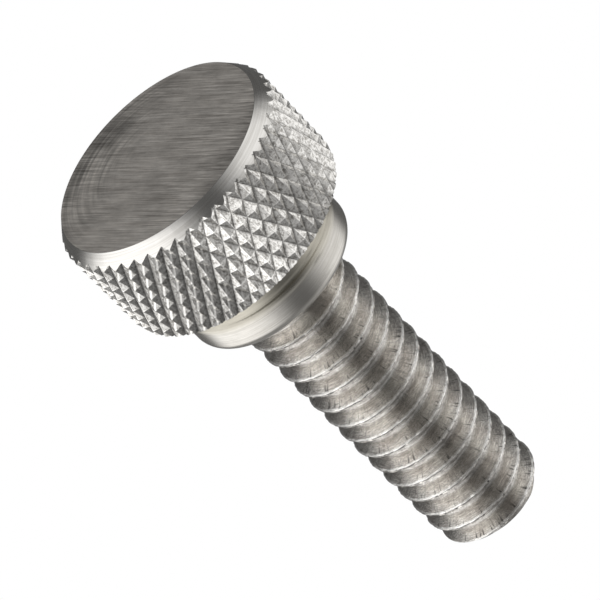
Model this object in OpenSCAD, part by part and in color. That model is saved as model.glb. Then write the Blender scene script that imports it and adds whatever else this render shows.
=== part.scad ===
/* [Head] */
// Diameter over the tips of the knurl
head_d = 13; // [11.5:0.1:16]
// Height of the knurled head
head_h = 6.05; // [4:0.05:9]
// Width of the chamfer round the flat end, across the radius
end_chamfer = 0.6; // [0.3:0.05:1.2]
// Angle of that chamfer to the axis
end_chamfer_angle = 36; // [25:1:60]
// Chamfer on the edge of the head's underside
rim_chamfer = 0.15; // [0.05:0.05:0.4]

/* [Knurl] */
// Teeth round the head
knurl_teeth = 48; // [30:1:60]
// Angle of the grooves to the axis
knurl_angle = 28; // [20:0.5:40]
// Depth of the grooves
knurl_depth = 0.22; // [0.1:0.01:0.5]

/* [Collar] */
// Diameter of the collar
collar_d = 9.6; // [8:0.1:11.5]
// Height of the collar
collar_h = 2; // [1.6:0.05:3]
// Rounding of the collar's edge on the side of the head
collar_head_round = 0.5; // [0.1:0.05:0.6]
// Rounding of the collar's edge on the side of the thread
collar_thread_round = 0.6; // [0.1:0.05:0.8]
// Length of the neck between the head and the collar
neck_l = 1.45; // [0.8:0.05:2.5]
// How far the neck lies below the collar's wall
neck_step = 0.25; // [0.1:0.05:0.6]

/* [Thread] */
// Major diameter
thread_d = 6.32; // [5:0.01:7.6]
// Pitch
pitch = 1.27; // [1:0.01:1.6]
// Length from the collar to the tip
shank_l = 19; // [10:0.1:30]
// Width of the small cone at the foot of the shank, where it leaves the collar
foot_flare = 0.15; // [0.05:0.05:0.3]
// Plain length beside the collar
plain_l = 0.2; // [0.1:0.1:2]
// Length in which the groove then reaches its full depth
runout_l = 1; // [0.4:0.1:3]
// Width of the chamfer round the tip, across the radius
tip_chamfer = 0.65; // [0.3:0.05:1]
// Angle of that chamfer to the axis
tip_chamfer_angle = 45; // [30:1:60]

/* [Hidden] */
$fn = 96;

// Where up the head the knurl's lattice starts
knurl_start = -0.09;
// Flat sides to a turn of the thread, and where round the shank its first crest starts
thread_sides = 32;
thread_start_angle = 305;
// Unified form: a 60 degree groove 0.6134 of the pitch deep, with a crest an eighth of it wide
thread_form_angle = 60;
thread_depth = 0.6134 * pitch;
crest_share = 1 / 8;
flank_share = thread_depth * tan(thread_form_angle / 2) / pitch;

// The blank stands this far clear of whatever shape is cut from it
blank = 0.5;

head_r = head_d / 2;
collar_r = collar_d / 2;
neck_r = collar_r - neck_step;
thread_r = thread_d / 2;
collar_start = head_h + neck_l;
collar_end = collar_start + collar_h;
tip_end = collar_end + shank_l;

thumb_screw();

// The screw stands on the flat end of its head, with the axis up Z. It is turned from one bar.
module thumb_screw() color("silver") union() {
    head();
    neck();
    collar();
    foot();
    shank();
}

// A knurled bar, turned down to the chamfers at both ends of the head
module head() intersection() {
    knurled_bar();
    rotate_extrude() polygon([
        [0, 0],
        [head_r - end_chamfer, 0],
        [head_r + blank, (end_chamfer + blank) / tan(end_chamfer_angle)],
        [head_r + blank, head_h - rim_chamfer - blank],
        [head_r - rim_chamfer, head_h],
        [0, head_h]]);
}

// Two sets of grooves cross and leave four-sided teeth. Along a row round the bar, tips and
// groove crossings take turns, and they change places from one row to the next.
module knurled_bar() {
    n = 2 * knurl_teeth;
    row_h = PI * head_d / knurl_teeth / tan(knurl_angle) / 2;
    rows = ceil(head_h / row_h) + 2;
    function at(j, k) = k * n + j % n;
    points = [for (k = [0 : rows], j = [0 : n - 1])
        let (r = (j + k) % 2 == 0 ? head_r : head_r - knurl_depth, turn = j * 360 / n)
        [r * cos(turn), r * sin(turn), knurl_start + (k - 1) * row_h]];
    flanks = [for (k = [0 : rows - 1], j = [0 : n - 1])
        each (j + k) % 2 == 0
            ? [[at(j, k), at(j, k + 1), at(j + 1, k)], [at(j + 1, k), at(j, k + 1), at(j + 1, k + 1)]]
            : [[at(j, k), at(j + 1, k + 1), at(j + 1, k)], [at(j, k), at(j, k + 1), at(j + 1, k + 1)]]];
    ends = [[for (j = [0 : n - 1]) at(j, 0)], [for (j = [n - 1 : -1 : 0]) at(j, rows)]];
    polyhedron(points, concat(flanks, ends), convexity = 8);
}

module neck() translate([0, 0, head_h / 2])
    cylinder(r = neck_r, h = head_h / 2 + neck_l + collar_h / 2);

module collar() rotate_extrude() intersection() {
    union() {
        translate([0, collar_start]) square([collar_r - collar_head_round, collar_h / 2]);
        translate([0, collar_start + collar_head_round])
            square([collar_r, collar_h - collar_head_round - collar_thread_round]);
        translate([0, collar_end - collar_h / 2])
            square([collar_r - collar_thread_round, collar_h / 2]);
        translate([collar_r - collar_head_round, collar_start + collar_head_round])
            circle(collar_head_round);
        translate([collar_r - collar_thread_round, collar_end - collar_thread_round])
            circle(collar_thread_round);
    }
    translate([0, collar_start]) square([collar_r, collar_h]);
}

// The cone keeps the collar's flat a true ring, clear of the thread
module foot() rotate_extrude() polygon([
    [0, collar_end - collar_h / 2],
    [thread_r + foot_flare, collar_end - collar_h / 2],
    [thread_r + foot_flare, collar_end],
    [thread_r - foot_flare, collar_end + 2 * foot_flare],
    [0, collar_end + 2 * foot_flare]]);

// The threaded bar starts inside the collar and is turned down at the tip
module shank() intersection() {
    rotate([0, 0, thread_start_angle]) threaded_bar();
    rotate_extrude() polygon([
        [0, collar_start],
        [thread_r + blank, collar_start],
        [thread_r + blank, tip_end - (tip_chamfer + blank) / tan(tip_chamfer_angle)],
        [thread_r - tip_chamfer, tip_end],
        [0, tip_end]]);
}

// Four lines climb the bar, a pitch to a turn: both edges of the crest, then both edges of the
// root. The groove deepens from nothing along the run-out.
module threaded_bar() {
    n = thread_sides;
    lines = 4 * (ceil((collar_h + shank_l) / pitch) + 2);
    start = collar_start - pitch;
    place = [0, crest_share, crest_share + flank_share, 1 - flank_share];
    function depth(z) = thread_depth * min(1, max(0, (z - collar_end - plain_l) / runout_l));
    function at(j, k) = j < n ? k * n + j : (k + 4) * n;
    points = [
        for (k = [0 : lines], j = [0 : n - 1])
            let (turn = j / n,
                 z = start + pitch * (floor(k / 4) + place[k % 4] + turn),
                 r = k % 4 < 2 ? thread_r : thread_r - depth(z))
            [r * cos(360 * turn), r * sin(360 * turn), z],
        [0, 0, start - pitch],
        [0, 0, start + pitch * (lines / 4 + 2)]];
    foot = len(points) - 2;
    top = len(points) - 1;
    sides = [for (k = [0 : lines - 1], j = [0 : k < lines - 4 ? n - 1 : n - 2])
        each [[at(j, k), at(j + 1, k + 1), at(j + 1, k)], [at(j, k), at(j, k + 1), at(j + 1, k + 1)]]];
    foot_edge = [for (j = [0 : n]) at(j, 0), for (k = [3 : -1 : 1]) at(0, k)];
    top_edge = [for (j = [0 : n - 1]) at(j, lines), for (k = [1 : 4]) at(n - 1, lines - k)];
    ends = [
        for (i = [0 : len(foot_edge) - 1])
            [foot, foot_edge[i], foot_edge[(i + 1) % len(foot_edge)]],
        for (i = [0 : len(top_edge) - 1])
            [top, top_edge[(i + 1) % len(top_edge)], top_edge[i]]];
    polyhedron(points, concat(sides, ends), convexity = 8);
}
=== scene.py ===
# Thumb screw: a diamond-knurled head, a rounded collar and a coarse threaded shank, turned from one bar.
# The dictionaries hold millimetres and degrees; the mesh is scaled to metres once it is whole.
import math

import bmesh
import bpy
from mathutils import Matrix


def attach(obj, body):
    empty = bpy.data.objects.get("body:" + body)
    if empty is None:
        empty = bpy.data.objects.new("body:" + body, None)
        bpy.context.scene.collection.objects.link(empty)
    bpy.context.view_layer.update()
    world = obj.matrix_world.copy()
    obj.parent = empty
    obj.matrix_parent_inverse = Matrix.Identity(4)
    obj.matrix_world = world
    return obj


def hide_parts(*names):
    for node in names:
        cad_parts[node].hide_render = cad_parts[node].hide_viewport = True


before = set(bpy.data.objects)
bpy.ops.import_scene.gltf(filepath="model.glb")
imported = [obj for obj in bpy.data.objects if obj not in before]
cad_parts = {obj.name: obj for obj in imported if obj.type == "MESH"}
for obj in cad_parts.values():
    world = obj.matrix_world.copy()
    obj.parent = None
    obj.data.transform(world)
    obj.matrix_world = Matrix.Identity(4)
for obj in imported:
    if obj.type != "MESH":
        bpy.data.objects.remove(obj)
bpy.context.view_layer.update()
scene = bpy.context.scene
millimetre = 0.001
print("frame loaded")


def linear(hexColour):
    channels = [int(hexColour[i:i + 2], 16) / 255 for i in (1, 3, 5)]
    return [c / 12.92 if c <= 0.04045 else ((c + 0.055) / 1.055) ** 2.4 for c in channels] + [1.0]


def addNode(tree, kind, inputs=None, **settings):
    # inputs: socket name or index -> a value, a socket, or a node whose first output is meant
    node = tree.nodes.new(kind)
    for name, value in settings.items():
        setattr(node, name, value)
    for key, value in (inputs or {}).items():
        if isinstance(value, bpy.types.Node):
            value = value.outputs[0]
        if isinstance(value, bpy.types.NodeSocket):
            tree.links.new(value, node.inputs[key])
        else:
            node.inputs[key].default_value = value
    return node


def product(tree, *factors):
    total = factors[0]
    for factor in factors[1:]:
        total = addNode(tree, "ShaderNodeMath", {0: total, 1: factor}, operation="MULTIPLY")
    return total


def clearedTree(owner):
    # the node tree of a material or a world, emptied
    owner.use_nodes = True
    owner.node_tree.nodes.clear()
    return owner.node_tree


# camera: long lens, below the flat of the head, rolled so that the shank runs down to the right
camera = {
    "place": (-0.0933, -189.861, -106.660),
    "lookUp": 31.907518,       # above +Y
    "roll": 135.568155,
    "lens": 270.0,
    "sensor": 36.0,
    "reach": (0.005, 20.0),    # metres
}
cameraData = bpy.data.cameras.new("camera")
cameraData.lens = camera["lens"]
cameraData.sensor_width = camera["sensor"]
cameraData.clip_start, cameraData.clip_end = camera["reach"]
cameraObject = bpy.data.objects.new("camera", cameraData)
cameraObject.matrix_world = (
    Matrix.Translation([distance * millimetre for distance in camera["place"]])
    @ Matrix.Rotation(math.radians(90 + camera["lookUp"]), 4, "X")
    @ Matrix.Rotation(math.radians(camera["roll"]), 4, "Z"))
scene.collection.objects.link(cameraObject)
scene.camera = cameraObject
scene.view_settings.view_transform = "Standard"
print("camera placed")


# head: sizes, which the knurl's finish follows too
head = {
    "tipRadius": 6.5,
    "height": 6.05,
    "endChamfer": 0.6,         # across the radius
    "endChamferAngle": 36,     # to the axis
    "rimChamfer": 0.15,
    "faceEdge": 0.05,          # the flat's edge is broken, not knife sharp
    "underLoop": 4.0,          # an edge loop of the underside, hidden in the neck
    "teeth": 48,
    "grooveAngle": 28,
    "rightSetDepth": 0.215,    # grooves that climb to the right, and those that climb to the left
    "leftSetDepth": 0.225,
    # round the head from X: turn is where, spread is how far off it starts and is full, share is what is left
    "weak": {"turn": -53, "spread": (27, 10), "share": 0.82},    # the right set's roller pressed less deep
    "paintedShadeSide": {"turn": -46, "spread": (38, 17), "share": 0.56},    # painted shade: the knurl drawn darker round this side
    "latticeStart": -0.1,      # where up the head the rows of teeth start, and round it in degrees
    "latticeTurn": 1.5,
    "rowLength": 0.35,         # mesh rows up the grooves
    "unevenness": 0.03,
    "spare": 0.5,              # blank beyond each end, cut away afterwards
    "barSpare": 0.3,           # and the knurled bar is this much longer still
    "leftSetLonger": 0.1,      # so that no two ends share a plane
    "ridgeAngle": 14,          # edges of the knurl that turn more than this stay crisp
}
rowHeight = math.pi * head["tipRadius"] / head["teeth"] / math.tan(math.radians(head["grooveAngle"]))

# neck and collar: sizes
collar = {
    "neckRadius": 4.55,
    "start": 7.5,
    "end": 9.5,
    "radius": 4.8,
    "headRound": 0.5,
    "threadRound": 0.6,
    "footRadius": 3.31,        # the small cone where the shank leaves the collar
    "footHeight": 0.3,
    "cornerRadius": 0.35,      # the lathe tool's nose leaves it between the neck and the collar
    "buried": 1.0,             # the neck's bar starts this far inside the head
    "neckTint": "#e3e1d9",     # a faint tint on the neck, slightly green and a little darker
}

# thread: sizes
thread = {
    "crestRadius": 3.16,
    "pitch": 1.27,
    "depth": 0.779,
    "crestShare": 0.125,
    "rootShare": 0.25,
    "burr": 0.022,             # how far the die raises the crest's near edge
    "ragged": 0.05,
    "segments": 160,
    "startAngle": 305,         # where the crest's near edge leaves the blank's first plane
    "plain": 0.2,
    "runout": 1.0,
    "tip": 28.5,
    "tipChamfer": 0.65,
    "spare": 0.5,              # the blank stands this far clear of the crests
    "spareTurns": 2,           # wound past each end of the bar
    "closes": (0.3, 0.6),      # where the bar ends: this far above its start, and this far past the tip
}
threadStart = collar["start"] - thread["pitch"]
threadPhase = collar["start"] - thread["pitch"] * (1 + thread["startAngle"] / 360)

# steel: one stainless steel throughout, each surface in the finish that its tool leaves
# colours are its marks' dark and light, roughness is where light and where dark, relief is the marks' depth
steel = {
    "paintedHighlight": "#f3f1ed",    # painted highlight, near-white, for ridges and crest edges
    "ground": {"colours": ("#a49e97", "#e6e1da"), "roughness": (0.3, 0.46), "relief": 0.006},
    "faced": {"colours": ("#c4c1bc", "#e2e0dc"), "roughness": (0.13, 0.21), "relief": 0.001},
    "rolled": {"colours": ("#96928c", "#f2f0ec"), "roughness": (0.11, 0.26), "relief": 0.003},
    "turned": {"colours": ("#b2aea7", "#d9d6d0"), "roughness": (0.2, 0.3), "relief": 0.0008},
    "cut": {"colours": ("#7d7974", "#f0ede9"), "roughness": (0.13, 0.24), "relief": 0.007},
    "grindAngle": 61.7,        # grinding lines across the flat end, from X
    # length, width and noise detail of a mark; real grit is nearer 0.02 wide, drawn coarser so that it shows
    "grindMarks": {"fine": (4.0, 0.055, 4.0), "broad": (3.125, 0.125, 3.0), "mottled": (3.125, 1.25, 4.0)},
    "faceRing": 0.294118,      # rings of the facing cut, on the flat end and on the chamfers
    "chamferRing": 0.07,
    "feed": 0.06,              # of the finishing cut on neck and collar
    "dieLine": 0.08,           # scores along the thread
}


def steelParts(name):
    material = bpy.data.materials.new(name)
    tree = clearedTree(material)
    place = addNode(tree, "ShaderNodeTexCoord").outputs["Object"]
    inMillimetres = addNode(tree, "ShaderNodeVectorMath", {0: place, 3: 1 / millimetre}, operation="SCALE")
    return material, tree, inMillimetres


def roundAxis(tree, place):
    # angle, distance from the axis and height, for marks that run round the bar
    split = addNode(tree, "ShaderNodeSeparateXYZ", {0: place})
    angle = addNode(tree, "ShaderNodeMath", {0: split.outputs["Y"], 1: split.outputs["X"]},
                    operation="ARCTAN2")
    flat = addNode(tree, "ShaderNodeVectorMath", {0: place, 1: (1.0, 1.0, 0.0)}, operation="MULTIPLY")
    radius = addNode(tree, "ShaderNodeVectorMath", {0: flat}, operation="LENGTH")
    return angle, radius.outputs["Value"], split.outputs["Z"]


def roundMarks(tree, angle, perRadian, across, width, noise):
    # noise drawn out round the bar: so many marks to a radian, each so wide
    return addNode(tree, "ShaderNodeTexNoise", {
        "Vector": addNode(tree, "ShaderNodeCombineXYZ", {
            "X": addNode(tree, "ShaderNodeMath", {0: angle, 1: perRadian}, operation="MULTIPLY"),
            "Y": addNode(tree, "ShaderNodeMath", {0: across, 1: 1 / width}, operation="MULTIPLY")}),
        "Scale": 1.0, **noise})


def sideShare(tree, angle, side):
    # 1 round most of the head, and the side's own share near its turn
    start, full = (math.cos(math.radians(spread)) for spread in side["spread"])
    near = addNode(tree, "ShaderNodeMath", {
        0: addNode(tree, "ShaderNodeMath", {0: angle, 1: math.radians(side["turn"])}, operation="SUBTRACT")},
        operation="COSINE")
    return addNode(tree, "ShaderNodeMapRange", {
        "Value": near, "From Min": start, "From Max": full, "To Min": 1.0, "To Max": side["share"]},
        interpolation_type="SMOOTHSTEP")


def finishSteel(tree, mark, finish, shade=None, paintedHighlight=None):
    # one mark pattern drives colour, roughness and a very shallow relief together
    dark, light = finish["colours"]
    smooth, rough = finish["roughness"]
    colour = addNode(tree, "ShaderNodeMix", {0: mark, 6: linear(dark), 7: linear(light)},
                     data_type="RGBA").outputs[2]
    if shade is not None:
        colour = addNode(tree, "ShaderNodeMix", {0: 1.0, 6: colour, 7: shade},
                         data_type="RGBA", blend_type="MULTIPLY").outputs[2]
    # painted highlight: a near-white colour mixed in along ridges and crest edges
    if paintedHighlight is not None:
        colour = addNode(tree, "ShaderNodeMix", {0: paintedHighlight, 6: colour, 7: linear(steel["paintedHighlight"])},
                         data_type="RGBA").outputs[2]
    surface = addNode(tree, "ShaderNodeBsdfPrincipled", {
        "Base Color": colour, "Metallic": 1.0,
        "Roughness": addNode(tree, "ShaderNodeMapRange", {"Value": mark, "To Min": rough, "To Max": smooth}),
        "Normal": addNode(tree, "ShaderNodeBump", {
            "Strength": 1.0, "Distance": finish["relief"] * millimetre, "Height": mark})})
    addNode(tree, "ShaderNodeOutputMaterial", {"Surface": surface})


def groundSteel():
    # ground flat: straight grit lines spread the light across them; mottled by handling, duller at both ends
    material, tree, place = steelParts("groundStainlessSteel")
    turned = addNode(tree, "ShaderNodeMapping", {
        "Vector": place, "Rotation": (0, 0, -math.radians(steel["grindAngle"]))}, vector_type="POINT")
    layers = {}
    for name, (length, width, detail) in steel["grindMarks"].items():
        layers[name] = addNode(tree, "ShaderNodeTexNoise", {
            "Vector": addNode(tree, "ShaderNodeVectorMath", {0: turned, 1: (1 / length, 1 / width, 1)},
                              operation="MULTIPLY"),
            "Scale": 1.0, "Detail": detail, "Roughness": 0.68})
    mark = addNode(tree, "ShaderNodeMapRange", {
        "Value": addNode(tree, "ShaderNodeMix", {0: 0.32, 2: layers["fine"], 3: layers["broad"]},
                         data_type="FLOAT"),
        "From Min": 0.36, "From Max": 0.62})
    handled = addNode(tree, "ShaderNodeMapRange", {
        "Value": layers["mottled"], "From Min": 0.36, "From Max": 0.62, "To Min": 0.78, "To Max": 1.14})
    alongLines = addNode(tree, "ShaderNodeSeparateXYZ", {0: turned})
    fromMiddle = addNode(tree, "ShaderNodeMath", {0: alongLines}, operation="ABSOLUTE")
    dullEnds = addNode(tree, "ShaderNodeMapRange", {
        "Value": fromMiddle, "From Min": 4.4, "From Max": 5.6, "To Min": 1.0, "To Max": 0.74},
        interpolation_type="SMOOTHSTEP")
    # deeper scores stand out away from the middle
    scores = addNode(tree, "ShaderNodeMapRange", {
        "Value": layers["broad"], "From Min": 0.38, "From Max": 0.6, "To Min": 0.76, "To Max": 1.1})
    towardEnds = addNode(tree, "ShaderNodeMapRange", {"Value": fromMiddle, "From Min": 1.5, "From Max": 5.0})
    scored = addNode(tree, "ShaderNodeMix", {0: towardEnds, 2: 1.0, 3: scores}, data_type="FLOAT")
    # faint rings from the facing cut still show under the grit lines towards one end
    angle, radius, _ = roundAxis(tree, place)
    ring = addNode(tree, "ShaderNodeMapRange", {
        "Value": roundMarks(tree, angle, 1.0, radius, steel["faceRing"], {"Detail": 2.0}),
        "From Min": 0.35, "From Max": 0.65, "To Min": 0.6, "To Max": 1.25})
    ringsHere = addNode(tree, "ShaderNodeMapRange", {"Value": alongLines, "From Min": 1.5, "From Max": 4.5})
    rings = addNode(tree, "ShaderNodeMix", {0: ringsHere, 2: 1.0, 3: ring}, data_type="FLOAT")
    finishSteel(tree, mark, steel["ground"], product(tree, handled, dullEnds, rings, scored))
    return material


def facedSteel():
    # chamfer: a fresh sharp tool leaves it almost a mirror, with faint rings
    material, tree, place = steelParts("facedStainlessSteel")
    angle, radius, _ = roundAxis(tree, place)
    rings = roundMarks(tree, angle, 1.2, radius, steel["chamferRing"], {"Detail": 3.0})
    mark = addNode(tree, "ShaderNodeMapRange", {"Value": rings, "From Min": 0.3, "From Max": 0.7})
    finishSteel(tree, mark, steel["faced"])
    return material


def rolledSteel():
    # knurl: pressed by rollers, so flanks are bright but scuffed; the ridges get a painted highlight, the
    # grooves are drawn darker deep down, and one side gets painted shade
    material, tree, place = steelParts("rolledKnurlSteel")
    angle, _, height = roundAxis(tree, place)
    along = addNode(tree, "ShaderNodeMath", {
        0: addNode(tree, "ShaderNodeMath", {0: angle, 1: math.radians(head["latticeTurn"])},
                   operation="SUBTRACT"), 1: head["teeth"] / (2 * math.pi)}, operation="MULTIPLY")
    up = addNode(tree, "ShaderNodeMath", {
        0: addNode(tree, "ShaderNodeMath", {0: height, 1: head["latticeStart"]}, operation="SUBTRACT"),
        1: 2 * rowHeight}, operation="DIVIDE")
    # how deep each set of grooves cuts here, as on the mesh
    weakened = sideShare(tree, angle, head["weak"])
    rightDepth = product(tree, weakened, head["rightSetDepth"])
    cut = {}
    for side, operation, depth in (("right", "ADD", rightDepth), ("left", "SUBTRACT", head["leftSetDepth"])):
        fromGroove = addNode(tree, "ShaderNodeMath", {
            0: addNode(tree, "ShaderNodeMath", {0: along, 1: up}, operation=operation), 1: 0.5},
            operation="PINGPONG")
        share = addNode(tree, "ShaderNodeMath", {0: fromGroove, 1: -2.0, 2: 1.0}, operation="MULTIPLY_ADD")
        cut[side] = product(tree, share, depth)
    ridgeGap = addNode(tree, "ShaderNodeMath", {
        0: addNode(tree, "ShaderNodeMath", {0: cut["right"], 1: cut["left"]}, operation="SUBTRACT")},
        operation="ABSOLUTE")
    deepest = addNode(tree, "ShaderNodeMath", {0: cut["right"], 1: cut["left"]}, operation="MAXIMUM")
    scuffs = addNode(tree, "ShaderNodeTexNoise", {
        "Vector": addNode(tree, "ShaderNodeVectorMath", {0: place, 1: (7.0, 7.0, 5.0)}, operation="MULTIPLY"),
        "Scale": 1.0, "Detail": 5.0, "Roughness": 0.72, "Distortion": 0.6})
    mark = addNode(tree, "ShaderNodeMapRange", {"Value": scuffs, "From Min": 0.36, "From Max": 0.56})
    # painted highlight at the tips, and all along the ridges that one set makes where the other is weak
    onRidge = addNode(tree, "ShaderNodeMapRange", {"Value": ridgeGap, "From Min": 0.032, "From Max": 0.01})
    nearTip = addNode(tree, "ShaderNodeMapRange", {"Value": deepest, "From Min": 0.15, "From Max": 0.05})
    alongRidge = addNode(tree, "ShaderNodeMapRange", {
        "Value": cut["left"], "From Min": 0.04, "From Max": 0.018})
    weakness = addNode(tree, "ShaderNodeMapRange", {
        "Value": weakened, "From Min": 1.0, "From Max": head["weak"]["share"]})
    ridge = addNode(tree, "ShaderNodeMix", {
        0: weakness, 2: product(tree, onRidge, nearTip), 3: alongRidge}, data_type="FLOAT")
    # darker deep in the grooves, reaching higher up in some grooves than in others
    blotch = addNode(tree, "ShaderNodeTexNoise", {"Vector": place, "Scale": 1.1, "Detail": 3.0})
    fullyDarkDepth = addNode(tree, "ShaderNodeMapRange", {
        "Value": blotch, "From Min": 0.35, "From Max": 0.65, "To Min": 0.21, "To Max": 0.13})
    darkerInGrooves = addNode(tree, "ShaderNodeMapRange", {
        "Value": deepest, "From Min": 0.24, "From Max": fullyDarkDepth, "To Min": 0.3, "To Max": 0.94})
    # painted shade: the knurl's colour drawn darker round one side of the head
    paintedShadeSide = sideShare(tree, angle, head["paintedShadeSide"])
    finishSteel(tree, mark, steel["rolled"], product(tree, darkerInGrooves, paintedShadeSide), product(tree, ridge, 0.9))
    return material


def turnedSteel():
    # neck and collar: soft satin left by the feed of a round-nosed tool, with painted shade in the corners
    material, tree, place = steelParts("turnedStainlessSteel")
    angle, radius, height = roundAxis(tree, place)
    across = addNode(tree, "ShaderNodeMath", {0: height, 1: radius}, operation="SUBTRACT")
    rings = roundMarks(tree, angle, 1.6, across, steel["feed"], {"Detail": 3.0})
    smudge = addNode(tree, "ShaderNodeTexNoise", {
        "Vector": addNode(tree, "ShaderNodeVectorMath", {0: place, 1: (0.8, 0.8, 1.6)}, operation="MULTIPLY"),
        "Scale": 1.0, "Detail": 5.0, "Roughness": 0.62})
    mark = addNode(tree, "ShaderNodeMapRange", {
        "Value": addNode(tree, "ShaderNodeMix", {0: 0.4, 2: rings, 3: smudge}, data_type="FLOAT"),
        "From Min": 0.24, "From Max": 0.76})
    # painted shade in the corners: each corner's height, how far from it the shade starts to thin and is
    # gone, and what light it leaves
    paintedCornerShade = []
    for corner, near, far, left in (
            (collar["start"] + 0.08, 0.02, 0.32, 0.92),
            (head["height"], 0.0, 0.3, 0.8)):
        away = addNode(tree, "ShaderNodeMath", {
            0: addNode(tree, "ShaderNodeMath", {0: height, 1: corner}, operation="SUBTRACT")},
            operation="ABSOLUTE")
        paintedCornerShade.append(addNode(tree, "ShaderNodeMapRange", {
            "Value": away, "From Min": near, "From Max": far, "To Min": left, "To Max": 1.0},
            interpolation_type="SMOOTHSTEP"))
    pastNeck = addNode(tree, "ShaderNodeMapRange", {
        "Value": height, "From Min": collar["start"] + 0.1, "From Max": collar["start"] + 0.7},
        interpolation_type="SMOOTHSTEP")
    tint = addNode(tree, "ShaderNodeMix", {
        0: pastNeck, 6: linear(collar["neckTint"]), 7: (1.0, 1.0, 1.0, 1.0)}, data_type="RGBA")
    shade = addNode(tree, "ShaderNodeMix", {0: 1.0, 6: tint.outputs[2], 7: product(tree, *paintedCornerShade)},
                    data_type="RGBA", blend_type="MULTIPLY")
    finishSteel(tree, mark, steel["turned"], shade.outputs[2])
    return material


def cutThreadSteel():
    # thread: torn slightly by the die, so it is dull and streaky, with ragged crests and small cracks; the
    # crests' near edges get a painted highlight and the roots are drawn darker
    material, tree, place = steelParts("cutThreadSteel")
    angle, radius, height = roundAxis(tree, place)
    # a screw line stays at one value of climb, counted in pitches from a crest's near edge
    climb = addNode(tree, "ShaderNodeMath", {
        0: addNode(tree, "ShaderNodeMath", {
            0: addNode(tree, "ShaderNodeMath", {0: height, 1: threadPhase}, operation="SUBTRACT"),
            1: thread["pitch"]}, operation="DIVIDE"),
        1: addNode(tree, "ShaderNodeMath", {0: angle, 1: 2 * math.pi}, operation="DIVIDE")},
        operation="SUBTRACT")
    acrossFlank = addNode(tree, "ShaderNodeMath", {0: climb, 1: thread["pitch"], 2: radius},
                          operation="MULTIPLY_ADD")
    drag = roundMarks(tree, angle, 5.0, acrossFlank, steel["dieLine"], {"Detail": 5.0, "Roughness": 0.75})
    speckle = addNode(tree, "ShaderNodeTexNoise", {
        "Vector": place, "Scale": 9.0, "Detail": 4.0, "Roughness": 0.8})
    blotch = addNode(tree, "ShaderNodeTexNoise", {
        "Vector": place, "Scale": 0.9, "Detail": 5.0, "Roughness": 0.68, "Distortion": 0.4})
    texture = addNode(tree, "ShaderNodeMix", {0: 0.38, 2: drag, 3: speckle}, data_type="FLOAT")
    mark = addNode(tree, "ShaderNodeMapRange", {
        "Value": addNode(tree, "ShaderNodeMix", {0: 0.26, 2: texture, 3: blotch}, data_type="FLOAT"),
        "From Min": 0.36, "From Max": 0.59})
    # cracks run across the turns and open at the crest
    cracks = roundMarks(tree, angle, 26.0, climb, 1 / 2.2, {"Detail": 2.0})
    crack = addNode(tree, "ShaderNodeMapRange", {"Value": cracks, "From Min": 0.6, "From Max": 0.65})
    crest = thread["crestRadius"]
    nearCrest = addNode(tree, "ShaderNodeMapRange", {
        "Value": radius, "From Min": crest - 0.45, "From Max": crest - 0.1, "To Min": 0.2, "To Max": 0.85})
    unbroken = addNode(tree, "ShaderNodeMath", {
        0: product(tree, crack, nearCrest), 1: -1.0, 2: 1.0}, operation="MULTIPLY_ADD")
    # painted highlight: the near edge of each crest is drawn near-white as a thin ragged line
    fromEdge = addNode(tree, "ShaderNodeMath", {0: climb, 1: 0.5}, operation="PINGPONG")
    width = addNode(tree, "ShaderNodeMapRange", {
        "Value": speckle, "From Min": 0.34, "From Max": 0.6, "To Min": 0.006, "To Max": 0.045})
    paintedCrestHighlight = product(
        tree,
        addNode(tree, "ShaderNodeMath", {0: fromEdge, 1: width}, operation="LESS_THAN"),
        addNode(tree, "ShaderNodeMath", {0: radius, 1: crest - 0.09}, operation="GREATER_THAN"),
        addNode(tree, "ShaderNodeMath", {0: height, 1: collar["end"] + 0.7}, operation="GREATER_THAN"))
    root = crest - thread["depth"]
    # darker towards the root of the thread
    darkerTowardsRoot = addNode(tree, "ShaderNodeMapRange", {
        "Value": radius, "From Min": root, "From Max": root + 0.35, "To Min": 0.7, "To Max": 1.0})
    # bare blank beside the collar: a few scored rings, drawn darker and lighter than the steel; the light
    # ones are painted highlights
    scores = addNode(tree, "ShaderNodeMapRange", {
        "Value": roundMarks(tree, angle, 0.7, height, 1 / 4.6, {"Detail": 3.0, "Roughness": 0.7}),
        "From Min": 0.42, "From Max": 0.56, "To Min": 0.4, "To Max": 1.5})
    beside = addNode(tree, "ShaderNodeMapRange", {
        "Value": height, "From Min": collar["end"] + 1.3, "From Max": collar["end"] + 0.9})
    foot = addNode(tree, "ShaderNodeMix", {0: beside, 2: 1.0, 3: scores}, data_type="FLOAT")
    tone = addNode(tree, "ShaderNodeMix", {
        0: addNode(tree, "ShaderNodeMapRange", {"Value": blotch, "From Min": 0.4, "From Max": 0.6}),
        6: (1.0, 0.98, 0.96, 1.0), 7: (0.98, 0.98, 0.96, 1.0)}, data_type="RGBA")
    shade = addNode(tree, "ShaderNodeMix", {
        0: 1.0, 6: tone.outputs[2], 7: product(tree, unbroken, darkerTowardsRoot, foot)},
        data_type="RGBA", blend_type="MULTIPLY")
    finishSteel(tree, mark, steel["cut"], shade.outputs[2], paintedCrestHighlight)
    return material


groundMaterial = groundSteel()
chamferMaterial = facedSteel()
knurlMaterial = rolledSteel()
turnedMaterial = turnedSteel()
threadMaterial = cutThreadSteel()
print("materials made")


# steps that the bars share
mergeDistance = 0.0005
flatEnd = 0.95                 # a face that looks along the axis at least this squarely is a flat end


def profileMesh(name, points):
    # a profile is a row of points in the XZ half-plane, radius along X
    mesh = bpy.data.meshes.new(name)
    mesh.from_pydata([(x, 0, z) for x, z in points], [(i, i + 1) for i in range(len(points) - 1)], [])
    return mesh


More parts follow.
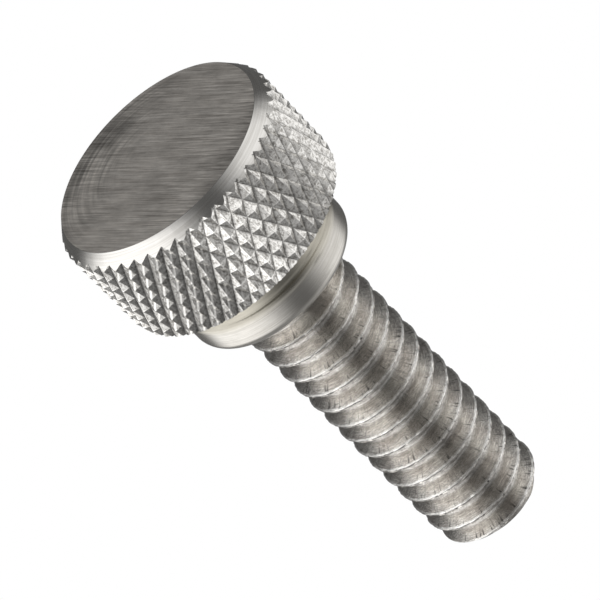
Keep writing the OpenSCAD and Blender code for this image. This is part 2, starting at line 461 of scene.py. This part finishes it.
def arc(centre, radius, start, end, steps):
    turns = [math.radians(start + (end - start) * i / steps) for i in range(steps + 1)]
    return [(centre[0] + radius * math.cos(turn), centre[1] + radius * math.sin(turn)) for turn in turns]


def grown(tree, mesh, values, name):
    # runs a tree on a mesh and returns what it makes as a plain mesh
    source = bpy.data.objects.new(name, mesh)
    scene.collection.objects.link(source)
    modifier = source.modifiers.new("tree", "NODES")
    modifier.node_group = tree
    for item in tree.interface.items_tree:
        if item.in_out == "INPUT" and item.name in values:
            modifier[item.identifier] = values[item.name]
    result = bpy.data.meshes.new_from_object(source.evaluated_get(bpy.context.evaluated_depsgraph_get()))
    source.modifiers.remove(modifier)
    bpy.data.objects.remove(source)
    result.name = name
    return result


def combined(first, second, operation):
    # each cut keeps the finish of the tool that made the surface
    pair = [bpy.data.objects.new(mesh.name, mesh) for mesh in (first, second)]
    for each in pair:
        scene.collection.objects.link(each)
    modifier = pair[0].modifiers.new("join", "BOOLEAN")
    modifier.object, modifier.operation, modifier.solver = pair[1], operation, "MANIFOLD"
    modifier.material_mode = "TRANSFER"
    result = bpy.data.meshes.new_from_object(pair[0].evaluated_get(bpy.context.evaluated_depsgraph_get()))
    for each in pair:
        bpy.data.objects.remove(each)
    return result


def finishFlats(mesh, lower=None, upper=None):
    # the flat ends of a turned blank can have finishes of their own
    for material, side in ((lower, -1), (upper, 1)):
        if material is None:
            continue
        mesh.materials.append(material)
        for polygon in mesh.polygons:
            if polygon.normal.z * side > flatEnd:
                polygon.material_index = len(mesh.materials) - 1


def newTree(name, inputs):
    tree = bpy.data.node_groups.new(name, "GeometryNodeTree")
    tree.interface.new_socket("Mesh", in_out="INPUT", socket_type="NodeSocketGeometry")
    for label, (kind, default) in inputs.items():
        socket = tree.interface.new_socket(label, in_out="INPUT", socket_type=kind)
        if default is not None:
            socket.default_value = default
    tree.interface.new_socket("Mesh", in_out="OUTPUT", socket_type="NodeSocketGeometry")
    return tree, addNode(tree, "NodeGroupInput"), addNode(tree, "NodeGroupOutput")


def unitSheet(tree, columns, rows):
    # a sheet to wrap round the axis: its mesh, each point's place on it, its row and the last row
    sheet = addNode(tree, "GeometryNodeMeshGrid", {
        "Size X": 1.0, "Size Y": 1.0, "Vertices X": columns, "Vertices Y": rows})
    place = addNode(tree, "ShaderNodeSeparateXYZ", {0: addNode(tree, "GeometryNodeInputPosition")})
    lastRow = addNode(tree, "ShaderNodeMath", {0: rows, 1: 1.0}, operation="SUBTRACT")
    return sheet, place, wholeSteps(tree, place.outputs["Y"], lastRow), lastRow


def wholeSteps(tree, place, last):
    # the number of a point's row or column, from its place on the unit sheet
    share = addNode(tree, "ShaderNodeMath", {0: place, 1: 0.5}, operation="ADD")
    return addNode(tree, "ShaderNodeMath", {0: product(tree, share, last)}, operation="ROUND")


def profilePoint(tree, given, index):
    point = addNode(tree, "GeometryNodeSampleIndex", {
        "Geometry": given.outputs["Mesh"], "Value": addNode(tree, "GeometryNodeInputPosition"),
        "Index": index}, data_type="FLOAT_VECTOR", domain="POINT")
    return addNode(tree, "ShaderNodeSeparateXYZ", {0: point}).outputs


def direction(tree, turn):
    return [addNode(tree, "ShaderNodeMath", {0: turn}, operation=operation)
            for operation in ("COSINE", "SINE")]


def wrapped(tree, given, made, sheet, radius, aim, up):
    # puts the sheet's points round the axis, closes its seam and ends, and gives the bar its steel
    placed = addNode(tree, "GeometryNodeSetPosition", {
        "Geometry": sheet,
        "Position": addNode(tree, "ShaderNodeCombineXYZ", {
            "X": product(tree, radius, aim[0]), "Y": product(tree, radius, aim[1]), "Z": up})})
    merged = addNode(tree, "GeometryNodeMergeByDistance", {"Geometry": placed, "Distance": mergeDistance})
    finished = addNode(tree, "GeometryNodeSetMaterial", {
        "Geometry": addNode(tree, "GeometryNodeRealizeInstances", {"Geometry": merged}),
        "Material": given.outputs["Material"]})
    tree.links.new(finished.outputs[0], made.inputs[0])
    return tree


# lathe tree: spins a profile round Z
def latheTree():
    tree, given, made = newTree("lathe", {
        "Segments": ("NodeSocketInt", 128), "Material": ("NodeSocketMaterial", None)})
    rows = addNode(tree, "GeometryNodeAttributeDomainSize", {0: given.outputs["Mesh"]}, component="MESH")
    columns = addNode(tree, "ShaderNodeMath", {0: given.outputs["Segments"], 1: 1.0}, operation="ADD")
    sheet, place, row, _ = unitSheet(tree, columns, rows)
    turn = addNode(tree, "ShaderNodeMath", {0: place.outputs["X"], 1: 2 * math.pi, 2: math.pi},
                   operation="MULTIPLY_ADD")
    profile = profilePoint(tree, given, row)
    return wrapped(tree, given, made, sheet, profile["X"], direction(tree, turn), profile["Z"])


# knurl: two grooved bars, one leaning each way; what they share is the diamond pattern
def groovedBarTree():
    tree, given, made = newTree("groovedBar", {
        "Tip radius": ("NodeSocketFloat", 6.5), "Grooves": ("NodeSocketInt", 48),
        "Depth": ("NodeSocketFloat", 0.2), "Twist": ("NodeSocketFloat", 0.08),
        "Turn": ("NodeSocketFloat", 0.0), "Start": ("NodeSocketFloat", 0.0),
        "Varies": ("NodeSocketFloat", 0.0), "Unevenness": ("NodeSocketFloat", 0.02),
        "Seed": ("NodeSocketFloat", 0.0), "Rows": ("NodeSocketInt", 24),
        "Low": ("NodeSocketFloat", -0.8), "High": ("NodeSocketFloat", 6.8),
        "Material": ("NodeSocketMaterial", None)})
    lastColumn = addNode(tree, "ShaderNodeMath", {0: given.outputs["Grooves"], 1: 2.0}, operation="MULTIPLY")
    columns = addNode(tree, "ShaderNodeMath", {0: lastColumn, 1: 1.0}, operation="ADD")
    sheet, place, row, lastRow = unitSheet(tree, columns, given.outputs["Rows"])
    column = wholeSteps(tree, place.outputs["X"], lastColumn)
    # the first and last rows close on the axis, at the height of the rows beside them
    inner = addNode(tree, "ShaderNodeMath", {0: lastRow, 1: 1.0}, operation="SUBTRACT")
    up = addNode(tree, "ShaderNodeMapRange", {
        "Value": row, "From Min": 1.0, "From Max": inner, "To Min": given.outputs["Low"],
        "To Max": given.outputs["High"]})
    beforeLast = addNode(tree, "ShaderNodeMath", {0: lastRow, 1: 0.5}, operation="SUBTRACT")
    inside = product(
        tree,
        addNode(tree, "ShaderNodeMath", {0: row, 1: 0.5}, operation="GREATER_THAN"),
        addNode(tree, "ShaderNodeMath", {0: row, 1: beforeLast}, operation="LESS_THAN"))
    share = addNode(tree, "ShaderNodeMath", {0: column, 1: lastColumn}, operation="DIVIDE")
    turn = addNode(tree, "ShaderNodeMath", {
        0: addNode(tree, "ShaderNodeMath", {0: up, 1: given.outputs["Start"]}, operation="SUBTRACT"),
        1: given.outputs["Twist"],
        2: addNode(tree, "ShaderNodeMath", {0: share, 1: 2 * math.pi, 2: given.outputs["Turn"]},
                   operation="MULTIPLY_ADD")}, operation="MULTIPLY_ADD")
    aim = direction(tree, turn)
    # even columns are grooves and odd ones ridges; one roller pressed less deep at one side
    groove = addNode(tree, "ShaderNodeMath", {
        0: addNode(tree, "ShaderNodeMath", {0: column, 1: 2.0}, operation="FLOORED_MODULO"), 1: 0.5},
        operation="LESS_THAN")
    weakened = addNode(tree, "ShaderNodeMix", {
        0: given.outputs["Varies"], 2: 1.0, 3: sideShare(tree, turn, head["weak"])}, data_type="FLOAT")
    cut = product(tree, groove, weakened, given.outputs["Depth"])
    # the rollers ran a little unevenly
    upShare = addNode(tree, "ShaderNodeMath", {0: up, 1: given.outputs["Tip radius"]}, operation="DIVIDE")
    surface = addNode(tree, "ShaderNodeCombineXYZ", {"X": aim[0], "Y": aim[1], "Z": upShare})
    wobble = addNode(tree, "ShaderNodeTexNoise", {
        "Vector": addNode(tree, "ShaderNodeVectorMath", {0: surface, 3: 11.0}, operation="SCALE"),
        "W": given.outputs["Seed"], "Scale": 1.0, "Detail": 2.0}, noise_dimensions="4D")
    lost = addNode(tree, "ShaderNodeMath", {
        0: addNode(tree, "ShaderNodeMath", {0: wobble, 1: 0.3}, operation="SUBTRACT"),
        1: given.outputs["Unevenness"], 2: cut}, operation="MULTIPLY_ADD")
    radius = addNode(tree, "ShaderNodeMath", {
        0: addNode(tree, "ShaderNodeMath", {0: given.outputs["Tip radius"], 1: lost}, operation="SUBTRACT"),
        1: inside}, operation="MULTIPLY")
    return wrapped(tree, given, made, sheet, radius, aim, up)


grooved = groovedBarTree()
emptyMesh = bpy.data.meshes.new("empty")
barSpare = head["spare"] + head["barSpare"]
twist = math.tan(math.radians(head["grooveAngle"])) / head["tipRadius"]
groovedBars = []
for name, depth, lean, varies, longer in (
        ("rightSet", head["rightSetDepth"], -1.0, 1.0, 0.0),
        ("leftSet", head["leftSetDepth"], 1.0, 0.0, head["leftSetLonger"])):
    groovedBars.append(grown(grooved, emptyMesh, {
        "Tip radius": head["tipRadius"], "Grooves": head["teeth"], "Depth": depth, "Twist": lean * twist,
        "Turn": math.radians(head["latticeTurn"]), "Start": head["latticeStart"], "Varies": varies,
        "Unevenness": head["unevenness"], "Seed": lean,
        "Rows": math.ceil((head["height"] + 2 * barSpare) / head["rowLength"]) + 3,
        "Low": -barSpare - longer, "High": head["height"] + barSpare + longer,
        "Material": knurlMaterial}, name))
knurledBar = combined(groovedBars[0], groovedBars[1], "INTERSECT")
print("knurl cut,", len(knurledBar.polygons), "faces")


# head blank: the flat end is ground, the underside turned, and only the chamfers are left bright
def headProfile():
    tip, height, edge = head["tipRadius"], head["height"], head["faceEdge"]
    reach = tip + head["spare"]
    slope = 1 / math.tan(math.radians(head["endChamferAngle"]))
    flat = tip - head["endChamfer"]
    return [
        (0, 0),
        (flat * 0.5, 0),
        (flat - edge, 0),
        (flat - edge * 0.3, edge * 0.12),
        (flat + edge * 0.2, edge * 0.2 * slope + edge * 0.12),
        (reach, (head["endChamfer"] + head["spare"]) * slope),
        (reach, height - head["rimChamfer"] - head["spare"]),
        (tip - head["rimChamfer"], height),
        (head["underLoop"], height),
        (0, height)]


lathe = latheTree()
headBlank = grown(lathe, profileMesh("headProfile", headProfile()), {
    "Segments": 192, "Material": chamferMaterial}, "headBlank")
finishFlats(headBlank, lower=groundMaterial, upper=turnedMaterial)


# neck and collar bar
def collarProfile():
    neck, corner, rounding = collar["neckRadius"], collar["cornerRadius"], collar["headRound"]
    start, end = collar["start"], collar["end"]
    buried = head["height"] - collar["buried"]
    # the hollow corner meets the collar's rounding where the two circles touch
    roundCentre = collar["radius"] - rounding
    meet = math.acos((neck + corner - roundCentre) / (rounding + corner))
    cornerHeight = start + rounding - (rounding + corner) * math.sin(meet)
    meet = math.degrees(meet)
    return (
        [(0, buried), (neck, buried), (neck, head["height"])]
        + arc((neck + corner, cornerHeight), corner, 180, 180 - meet, 6)[:-1]
        + arc((roundCentre, start + rounding), rounding, -meet, 0, 8)
        + arc((collar["radius"] - collar["threadRound"], end - collar["threadRound"]),
              collar["threadRound"], 0, 90, 12)
        + [(collar["footRadius"], end),
           (collar["footRadius"] - collar["footHeight"], end + collar["footHeight"]),
           (0, end + collar["footHeight"])])


collarBar = grown(lathe, profileMesh("collarProfile", collarProfile()), {
    "Segments": 192, "Material": turnedMaterial}, "collarBar")
print("head, neck and collar turned")


# threaded shank
def threadTree():
    # input mesh: one pitch of the profile, share of the pitch along X and share of the depth along Z
    tree, given, made = newTree("thread", {
        "Crest radius": ("NodeSocketFloat", 3.16), "Pitch": ("NodeSocketFloat", 1.27),
        "Depth": ("NodeSocketFloat", 0.78), "Turns": ("NodeSocketInt", 18),
        "Segments": ("NodeSocketInt", 96), "Start": ("NodeSocketFloat", 0.0),
        "Start angle": ("NodeSocketFloat", 0.0), "Low": ("NodeSocketFloat", 0.0),
        "High": ("NodeSocketFloat", 10.0), "Fade from": ("NodeSocketFloat", 0.0),
        "Fade over": ("NodeSocketFloat", 1.0), "Ragged": ("NodeSocketFloat", 0.05),
        "Material": ("NodeSocketMaterial", None)})
    count = addNode(tree, "GeometryNodeAttributeDomainSize", {0: given.outputs["Mesh"]}, component="MESH")
    rows = addNode(tree, "ShaderNodeMath", {0: count, 1: given.outputs["Turns"], 2: 1.0},
                   operation="MULTIPLY_ADD")
    columns = addNode(tree, "ShaderNodeMath", {0: given.outputs["Segments"], 1: 1.0}, operation="ADD")
    sheet, place, row, _ = unitSheet(tree, columns, rows)
    turnShare = addNode(tree, "ShaderNodeMath", {0: place.outputs["X"], 1: 0.5}, operation="ADD")
    step = addNode(tree, "ShaderNodeMath", {0: row, 1: count}, operation="FLOORED_MODULO")
    pitches = addNode(tree, "ShaderNodeMath", {
        0: addNode(tree, "ShaderNodeMath", {0: row, 1: 0.5}, operation="ADD"), 1: count}, operation="DIVIDE")
    wholePitches = addNode(tree, "ShaderNodeMath", {0: pitches}, operation="FLOOR")
    profile = profilePoint(tree, given, step)
    along = addNode(tree, "ShaderNodeMath", {
        0: addNode(tree, "ShaderNodeMath", {0: wholePitches, 1: profile["X"]}, operation="ADD"),
        1: turnShare}, operation="ADD")
    up = addNode(tree, "ShaderNodeMath", {
        0: along, 1: given.outputs["Pitch"], 2: given.outputs["Start"]}, operation="MULTIPLY_ADD")
    fade = addNode(tree, "ShaderNodeMath", {
        0: addNode(tree, "ShaderNodeMath", {0: up, 1: given.outputs["Fade from"]}, operation="SUBTRACT"),
        1: given.outputs["Fade over"]}, operation="DIVIDE", use_clamp=True)
    cut = product(tree, profile["Z"], given.outputs["Depth"], fade)
    aim = direction(tree, addNode(tree, "ShaderNodeMath", {
        0: turnShare, 1: 2 * math.pi,
        2: addNode(tree, "ShaderNodeMath", {0: given.outputs["Start angle"]}, operation="RADIANS")},
        operation="MULTIPLY_ADD"))
    # torn crests: only the outermost part of the profile is worn back, unevenly
    torn = addNode(tree, "ShaderNodeTexNoise", {
        "Vector": addNode(tree, "ShaderNodeCombineXYZ", {
            "X": product(tree, aim[0], 9.0), "Y": product(tree, aim[1], 9.0), "Z": product(tree, up, 3.0)}),
        "Scale": 1.0, "Detail": 3.0, "Roughness": 0.7})
    outermost = addNode(tree, "ShaderNodeMapRange", {"Value": profile["Z"], "From Min": 0.2, "From Max": 0.0})
    lost = product(tree, outermost, fade, given.outputs["Ragged"], addNode(tree, "ShaderNodeMapRange", {
        "Value": torn, "From Min": 0.46, "From Max": 0.7}))
    radius = addNode(tree, "ShaderNodeMath", {
        0: given.outputs["Crest radius"],
        1: addNode(tree, "ShaderNodeMath", {0: cut, 1: lost}, operation="ADD")}, operation="SUBTRACT")
    # past both ends the points fall on the axis and close the bar
    inside = product(
        tree,
        addNode(tree, "ShaderNodeMath", {0: up, 1: given.outputs["Low"]}, operation="GREATER_THAN"),
        addNode(tree, "ShaderNodeMath", {0: up, 1: given.outputs["High"]}, operation="LESS_THAN"))
    capped = addNode(tree, "ShaderNodeClamp", {
        "Value": up, "Min": given.outputs["Low"], "Max": given.outputs["High"]})
    return wrapped(tree, given, made, sheet, product(tree, radius, inside), aim, capped)


def pitchProfile():
    # share of the pitch, then share of the depth: the burr, the crest, a flank, the root and the other flank
    crest = thread["crestShare"]
    flank = (1 - crest - thread["rootShare"]) / 2
    burr = thread["burr"] / thread["depth"]
    falling = [(crest + flank * i / 4, i / 4) for i in (1, 2, 3)]
    rising = [(1 - flank * i / 4, i / 4) for i in (3, 2, 1)]
    return (
        [(0.0, 0.0), (0.012, -burr), (0.032, -burr), (0.055, 0.0), (crest - 0.012, 0.0), (crest, 0.03)]
        + falling
        + [(crest + flank * 0.93, 0.93), (crest + flank + 0.05, 1.0),
           (1 - flank - 0.05, 1.0), (1 - flank * 0.93, 0.93)]
        + rising)


def shankProfile():
    foot = collar["start"] + thread["spare"]
    reach = thread["crestRadius"] + thread["spare"]
    return [
        (0, foot),
        (reach, foot),
        (reach, thread["tip"] - thread["tipChamfer"] - thread["spare"]),
        (thread["crestRadius"] - thread["tipChamfer"], thread["tip"]),
        (0, thread["tip"])]


threadedBar = grown(threadTree(), profileMesh("pitchProfile", pitchProfile()), {
    "Crest radius": thread["crestRadius"], "Pitch": thread["pitch"], "Depth": thread["depth"],
    "Turns": math.ceil((thread["tip"] - threadStart) / thread["pitch"]) + 2 * thread["spareTurns"],
    "Segments": thread["segments"],
    "Start": threadStart - thread["spareTurns"] * thread["pitch"], "Start angle": thread["startAngle"],
    "Low": threadStart + thread["closes"][0], "High": thread["tip"] + thread["closes"][1],
    "Fade from": collar["end"] + thread["plain"], "Fade over": thread["runout"], "Ragged": thread["ragged"],
    "Material": threadMaterial}, "threadedBar")
shankBlank = grown(lathe, profileMesh("shankProfile", shankProfile()), {
    "Segments": 160, "Material": chamferMaterial}, "shankBlank")
finishFlats(shankBlank, upper=turnedMaterial)
print("thread cut,", len(threadedBar.polygons), "faces")

# the whole screw: blanks cut their bars to length, and all are one body
creaseAngle = 42
headSolid = combined(knurledBar, headBlank, "INTERSECT")
shankSolid = combined(threadedBar, shankBlank, "INTERSECT")
body = combined(combined(headSolid, collarBar, "UNION"), shankSolid, "UNION")
body.transform(Matrix.Scale(millimetre, 4))
for polygon in body.polygons:
    polygon.use_smooth = True
body.set_sharp_from_angle(angle=math.radians(creaseAngle))
# edges between two finishes and the knurl's ridges are crisp too
knurlSlot = list(body.materials).index(knurlMaterial)
edges = bmesh.new()
edges.from_mesh(body)
for edge in edges.edges:
    slots = {face.material_index for face in edge.link_faces}
    ridge = slots == {knurlSlot} and edge.calc_face_angle(0) > math.radians(head["ridgeAngle"])
    if ridge or len(slots) > 1:
        edge.smooth = False
edges.to_mesh(body)
edges.free()
screw = bpy.data.objects.new("thumbScrew", body)
scene.collection.objects.link(screw)
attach(screw, "root")
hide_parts("thumb_screw")
print("screw joined,", len(body.polygons), "faces")


# studio: a dim room with a tall soft wall of light on each side
# Directions are degrees: round from -Y towards +X, and up from the horizon.
studio = {
    "room": 0.12,
    "overhead": (0.2, (36, 54)),                     # level added, and the heights where it rises
    "front": (0.2, (-20, -8), (18, 30), (20, 90)),   # level, heights where it rises and falls, and sides
    "farBelow": (0.29, (150, 172), (-26, -12)),      # level, sides, heights; the head's flat end shows it
    "walls": {
        "plus": {"level": 1.5, "near": (0, 66), "far": (108, 141), "bottom": (-78, -42), "top": (34, 48)},
        "minus": {"level": 1.0, "near": (14, 72), "far": (96, 130), "bottom": (-78, -42), "top": (40, 84)},
    },
    # a darker post in front of the minus wall, and the share of light that it takes
    "post": {"share": 0.6, "near": (40, 45), "far": (52, 58), "bottom": (-6, 1), "top": (14, 22)},
    "backdrop": (5, 9),        # half-angle of the white backdrop in metal: full, and gone
    "paper": "#f4f4f2",
    "paperGlow": 0.25,         # for the viewer only: white paper under brighter light
    "paperSize": 3.0,          # metres
    "paperGap": 0.02,          # under the head, so that no two faces share a plane
}


def softPatch(tree, *edges):
    # each edge is a direction's angle, and the bounds between which the patch fades in
    fades = [addNode(tree, "ShaderNodeMapRange", {
        "Value": value, "From Min": math.radians(gone), "From Max": math.radians(full)},
        interpolation_type="SMOOTHSTEP") for value, (gone, full) in edges]
    return product(tree, *fades)


def panel(tree, turn, height, shape):
    return softPatch(tree, (turn, shape["near"]), (turn, shape["far"][::-1]),
                     (height, shape["bottom"]), (height, shape["top"][::-1]))


def studioWorld():
    world = bpy.data.worlds.new("studio")
    tree = clearedTree(world)
    ray = addNode(tree, "ShaderNodeTexCoord").outputs["Generated"]
    toward = addNode(tree, "ShaderNodeSeparateXYZ", {0: ray})
    toViewer = product(tree, toward.outputs["Y"], -1.0)
    plus = addNode(tree, "ShaderNodeMath", {0: toward.outputs["X"], 1: toViewer}, operation="ARCTAN2")
    turns = {"plus": plus, "minus": product(tree, plus, -1.0)}
    aside = addNode(tree, "ShaderNodeMath", {0: plus}, operation="ABSOLUTE")
    height = addNode(tree, "ShaderNodeMath", {0: toward.outputs["Z"]}, operation="ARCSINE")
    level, rise = studio["overhead"]
    lights = [(level, softPatch(tree, (height, rise)))]
    level, rise, fall, sides = studio["front"]
    lights.append((level, softPatch(tree, (height, rise), (height, fall[::-1]), (aside, sides[::-1]))))
    level, sides, fall = studio["farBelow"]
    lights.append((level, softPatch(tree, (aside, sides), (height, fall[::-1]))))
    for side, wall in studio["walls"].items():
        lights.append((wall["level"], panel(tree, turns[side], height, wall)))
    total = studio["room"]
    for level, patch in lights:
        total = addNode(tree, "ShaderNodeMath", {0: patch, 1: level, 2: total}, operation="MULTIPLY_ADD")
    post = studio["post"]
    passed = addNode(tree, "ShaderNodeMath", {
        0: panel(tree, turns["minus"], height, post), 1: -post["share"], 2: 1.0}, operation="MULTIPLY_ADD")
    lit = addNode(tree, "ShaderNodeBackground", {
        "Color": (1, 1, 1, 1), "Strength": product(tree, total, passed)})
    white = addNode(tree, "ShaderNodeBackground", {"Color": (1, 1, 1, 1), "Strength": 1.0})
    # what stands behind is plain white: seen by the eye, and by metal in a glancing look past its own edge
    lookUp = math.radians(camera["lookUp"])
    full, gone = (math.cos(math.radians(angle)) for angle in studio["backdrop"])
    behind = addNode(tree, "ShaderNodeMapRange", {
        "Value": addNode(tree, "ShaderNodeVectorMath", {
            0: ray, 1: (0.0, math.cos(lookUp), math.sin(lookUp))}, operation="DOT_PRODUCT").outputs["Value"],
        "From Min": gone, "From Max": full})
    path = addNode(tree, "ShaderNodeLightPath")
    glancing = product(tree, path.outputs["Is Glossy Ray"], behind)
    seen = addNode(tree, "ShaderNodeMath", {
        0: addNode(tree, "ShaderNodeMath", {0: path.outputs["Is Camera Ray"], 1: glancing},
                   operation="MAXIMUM"),
        1: path.outputs["Is Transmission Ray"]}, operation="MAXIMUM")
    addNode(tree, "ShaderNodeOutputWorld", {
        "Surface": addNode(tree, "ShaderNodeMixShader", {0: seen, 1: lit, 2: white})})
    return world


# floor: pale paper, there only for what looks at it from above
def palePaper():
    material = bpy.data.materials.new("palePaper")
    tree = clearedTree(material)
    path = addNode(tree, "ShaderNodeLightPath")
    underneath = addNode(tree, "ShaderNodeNewGeometry").outputs["Backfacing"]
    cameUp = addNode(tree, "ShaderNodeMath", {0: path.outputs["Transparent Depth"], 1: 0.5},
                     operation="GREATER_THAN")
    gone = addNode(tree, "ShaderNodeMath", {0: underneath, 1: cameUp}, operation="MAXIMUM")
    paper = addNode(tree, "ShaderNodeBsdfDiffuse", {"Color": linear(studio["paper"])})
    glow = addNode(tree, "ShaderNodeEmission", {
        "Color": linear(studio["paper"]),
        "Strength": product(tree, path.outputs["Is Camera Ray"], studio["paperGlow"])})
    addNode(tree, "ShaderNodeOutputMaterial", {"Surface": addNode(tree, "ShaderNodeMixShader", {
        0: gone, 1: addNode(tree, "ShaderNodeAddShader", {0: paper, 1: glow}),
        2: addNode(tree, "ShaderNodeBsdfTransparent")})})
    return material


scene.world = studioWorld()
half = studio["paperSize"] / 2
under = -studio["paperGap"] * millimetre
floor = bpy.data.meshes.new("floor")
floor.from_pydata(
    [(-half, -half, under), (half, -half, under), (half, half, under), (-half, half, under)], [],
    [(0, 1, 2, 3)])
floor.materials.append(palePaper())
floorObject = bpy.data.objects.new("floor", floor)
scene.collection.objects.link(floorObject)
print("studio made")
